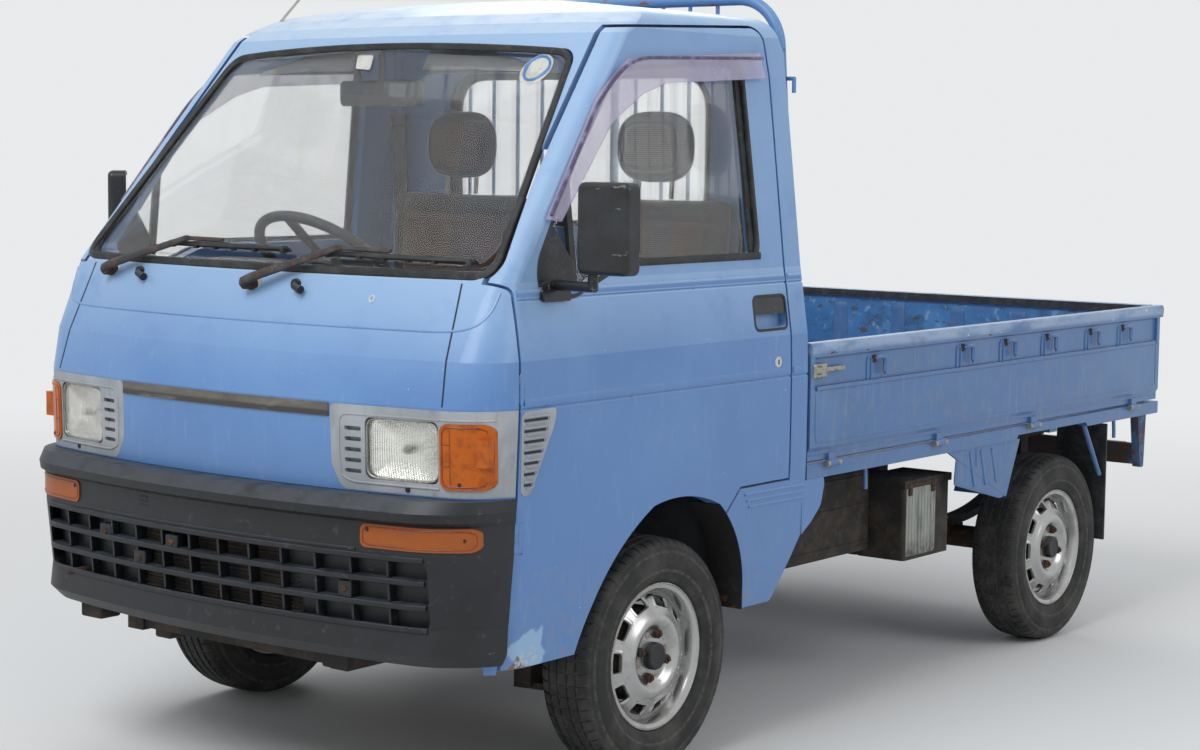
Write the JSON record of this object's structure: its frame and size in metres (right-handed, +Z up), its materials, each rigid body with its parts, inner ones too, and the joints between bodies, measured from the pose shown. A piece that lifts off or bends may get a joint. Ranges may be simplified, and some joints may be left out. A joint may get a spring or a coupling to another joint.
{
  "type": "kei truck",
  "caption": "Small cab-over pickup truck with hinged doors, a drop-sided load bed, steered front wheels and free-turning wheels.",
  "frame": {"origin": "on the ground, midway along the truck's length and width", "axes": "+Z up; -Y is the truck's front, +X its left side"},
  "size_m": [1.729, 3.2949, 1.8282],
  "materials": {
    "paint_blue": "faded gloss paint with rust at the edges",
    "paint_blue_bed": "faded, dusty paint",
    "paint_black": "satin black, rusty at edges",
    "underbody": "dull black with rust",
    "rust_iron": "rusty",
    "glass_clear": "clear",
    "glass_lamp": "fluted clear lens",
    "amber": "amber lens",
    "red_lens": "red lens",
    "grey_plastic": "faded grey",
    "black_plastic": "faded, scuffed",
    "smoke_plastic": "smoked, clouded",
    "rubber": "matt",
    "tyre": "worn",
    "rim_cream": "cream paint with rust",
    "steel": "dull",
    "fabric_grey": "woven cloth",
    "lining": "grained"
  },
  "bodies": {
    "truck": {"cab_shell": "paint_blue", "cab_floor": "lining", "windscreen": "glass_clear", "windscreen_rubber": "rubber", "rear_window": "glass_clear", "front_garnish": "black_plastic", "lamp_bezels": "grey_plastic", "headlamps": "glass_lamp", "turn_lamps": "amber", "front_bumper": "black_plastic", "wipers": "paint_black", "dashboard": "lining", "seats": "fabric_grey", "headrests": "fabric_grey", "sun_visors": "lining", "door_hinges": "paint_black", "frame_rails": "underbody", "crossmembers": "underbody", "engine_block": "rust_iron", "rear_axle": "rust_iron", "leaf_springs": "underbody", "front_suspension": "underbody", "bed_deck": "paint_blue_bed", "bed_front_board": "paint_blue_bed", "guard_frame": "paint_blue_bed", "gate_hinges": "steel", "rear_mudguards": "paint_blue_bed", "mud_flaps": "rubber", "rear_beam": "underbody", "tail_lamps": "red_lens", "battery_box": "black_plastic", "fuel_tank": "underbody", "exhaust": "rust_iron", "antenna": "steel"},
    "door_left": {"door_left_shell": "paint_blue", "door_left_glass": "glass_clear", "door_left_fittings": "black_plastic", "door_left_visor": "smoke_plastic"},
    "door_right": {"door_right_shell": "paint_blue", "door_right_glass": "glass_clear", "door_right_fittings": "black_plastic", "door_right_visor": "smoke_plastic"},
    "gate_left": {"gate_left": "paint_blue_bed"},
    "gate_right": {"gate_right": "paint_blue_bed"},
    "tailgate": {"tailgate": "paint_blue_bed"},
    "steering_wheel": {"steering_wheel": "black_plastic"},
    "knuckle_left": {"knuckle_left": "underbody"},
    "knuckle_right": {"knuckle_right": "underbody"},
    "wheel_front_left": {"rim_front_left": "rim_cream", "tyre_front_left": "tyre"},
    "wheel_front_right": {"rim_front_right": "rim_cream", "tyre_front_right": "tyre"},
    "wheel_rear_left": {"rim_rear_left": "rim_cream", "tyre_rear_left": "tyre"},
    "wheel_rear_right": {"rim_rear_right": "rim_cream", "tyre_rear_right": "tyre"}
  },
  "joints": [
    {"name": "door_left_swing", "type": "hinge", "parent": "truck", "child": "door_left", "pos_m": [0.689, -1.3925, 0.75], "axis": [0, 0, -1], "range_deg": [0, 65]},
    {"name": "door_right_swing", "type": "hinge", "parent": "truck", "child": "door_right", "pos_m": [-0.689, -1.3925, 0.75], "axis": [0, 0, 1], "range_deg": [0, 65]},
    {"name": "gate_left_drop", "type": "hinge", "parent": "truck", "child": "gate_left", "pos_m": [0.699, 0.6545, 0.639], "axis": [0, 1, 0], "range_deg": [0, 170]},
    {"name": "gate_right_drop", "type": "hinge", "parent": "truck", "child": "gate_right", "pos_m": [-0.699, 0.6545, 0.639], "axis": [0, -1, 0], "range_deg": [0, 170]},
    {"name": "tailgate_drop", "type": "hinge", "parent": "truck", "child": "tailgate", "pos_m": [0, 1.6395, 0.639], "axis": [-1, 0, 0], "range_deg": [0, 170]},
    {"name": "steer_left", "type": "hinge", "parent": "truck", "child": "knuckle_left", "pos_m": [0.53, -0.8755, 0.266], "axis": [0, 0, 1], "range_deg": [-35, 35]},
    {"name": "steer_right", "type": "hinge", "parent": "truck", "child": "knuckle_right", "pos_m": [-0.53, -0.8755, 0.266], "axis": [0, 0, 1], "range_deg": [-35, 35]},
    {"name": "steering_wheel_turn", "type": "hinge", "parent": "truck", "child": "steering_wheel", "pos_m": [-0.312, -0.9235, 1.101], "axis": [0, 0.6428, 0.766], "range_deg": [-560, 560]},
    {"name": "wheel_front_left_spin", "type": "hinge", "parent": "knuckle_left", "child": "wheel_front_left", "pos_m": [0.602, -0.8755, 0.266], "axis": [1, 0, 0], "continuous": true},
    {"name": "wheel_front_right_spin", "type": "hinge", "parent": "knuckle_right", "child": "wheel_front_right", "pos_m": [-0.602, -0.8755, 0.266], "axis": [1, 0, 0], "continuous": true},
    {"name": "wheel_rear_left_spin", "type": "hinge", "parent": "truck", "child": "wheel_rear_left", "pos_m": [0.602, 1.0245, 0.266], "axis": [1, 0, 0], "continuous": true},
    {"name": "wheel_rear_right_spin", "type": "hinge", "parent": "truck", "child": "wheel_rear_right", "pos_m": [-0.602, 1.0245, 0.266], "axis": [1, 0, 0], "continuous": true}
  ],
  "couplings": [
    {"joint": "steer_right", "follows": "steer_left", "ratio": 1},
    {"joint": "steering_wheel_turn", "follows": "steer_left", "ratio": 16}
  ]
}
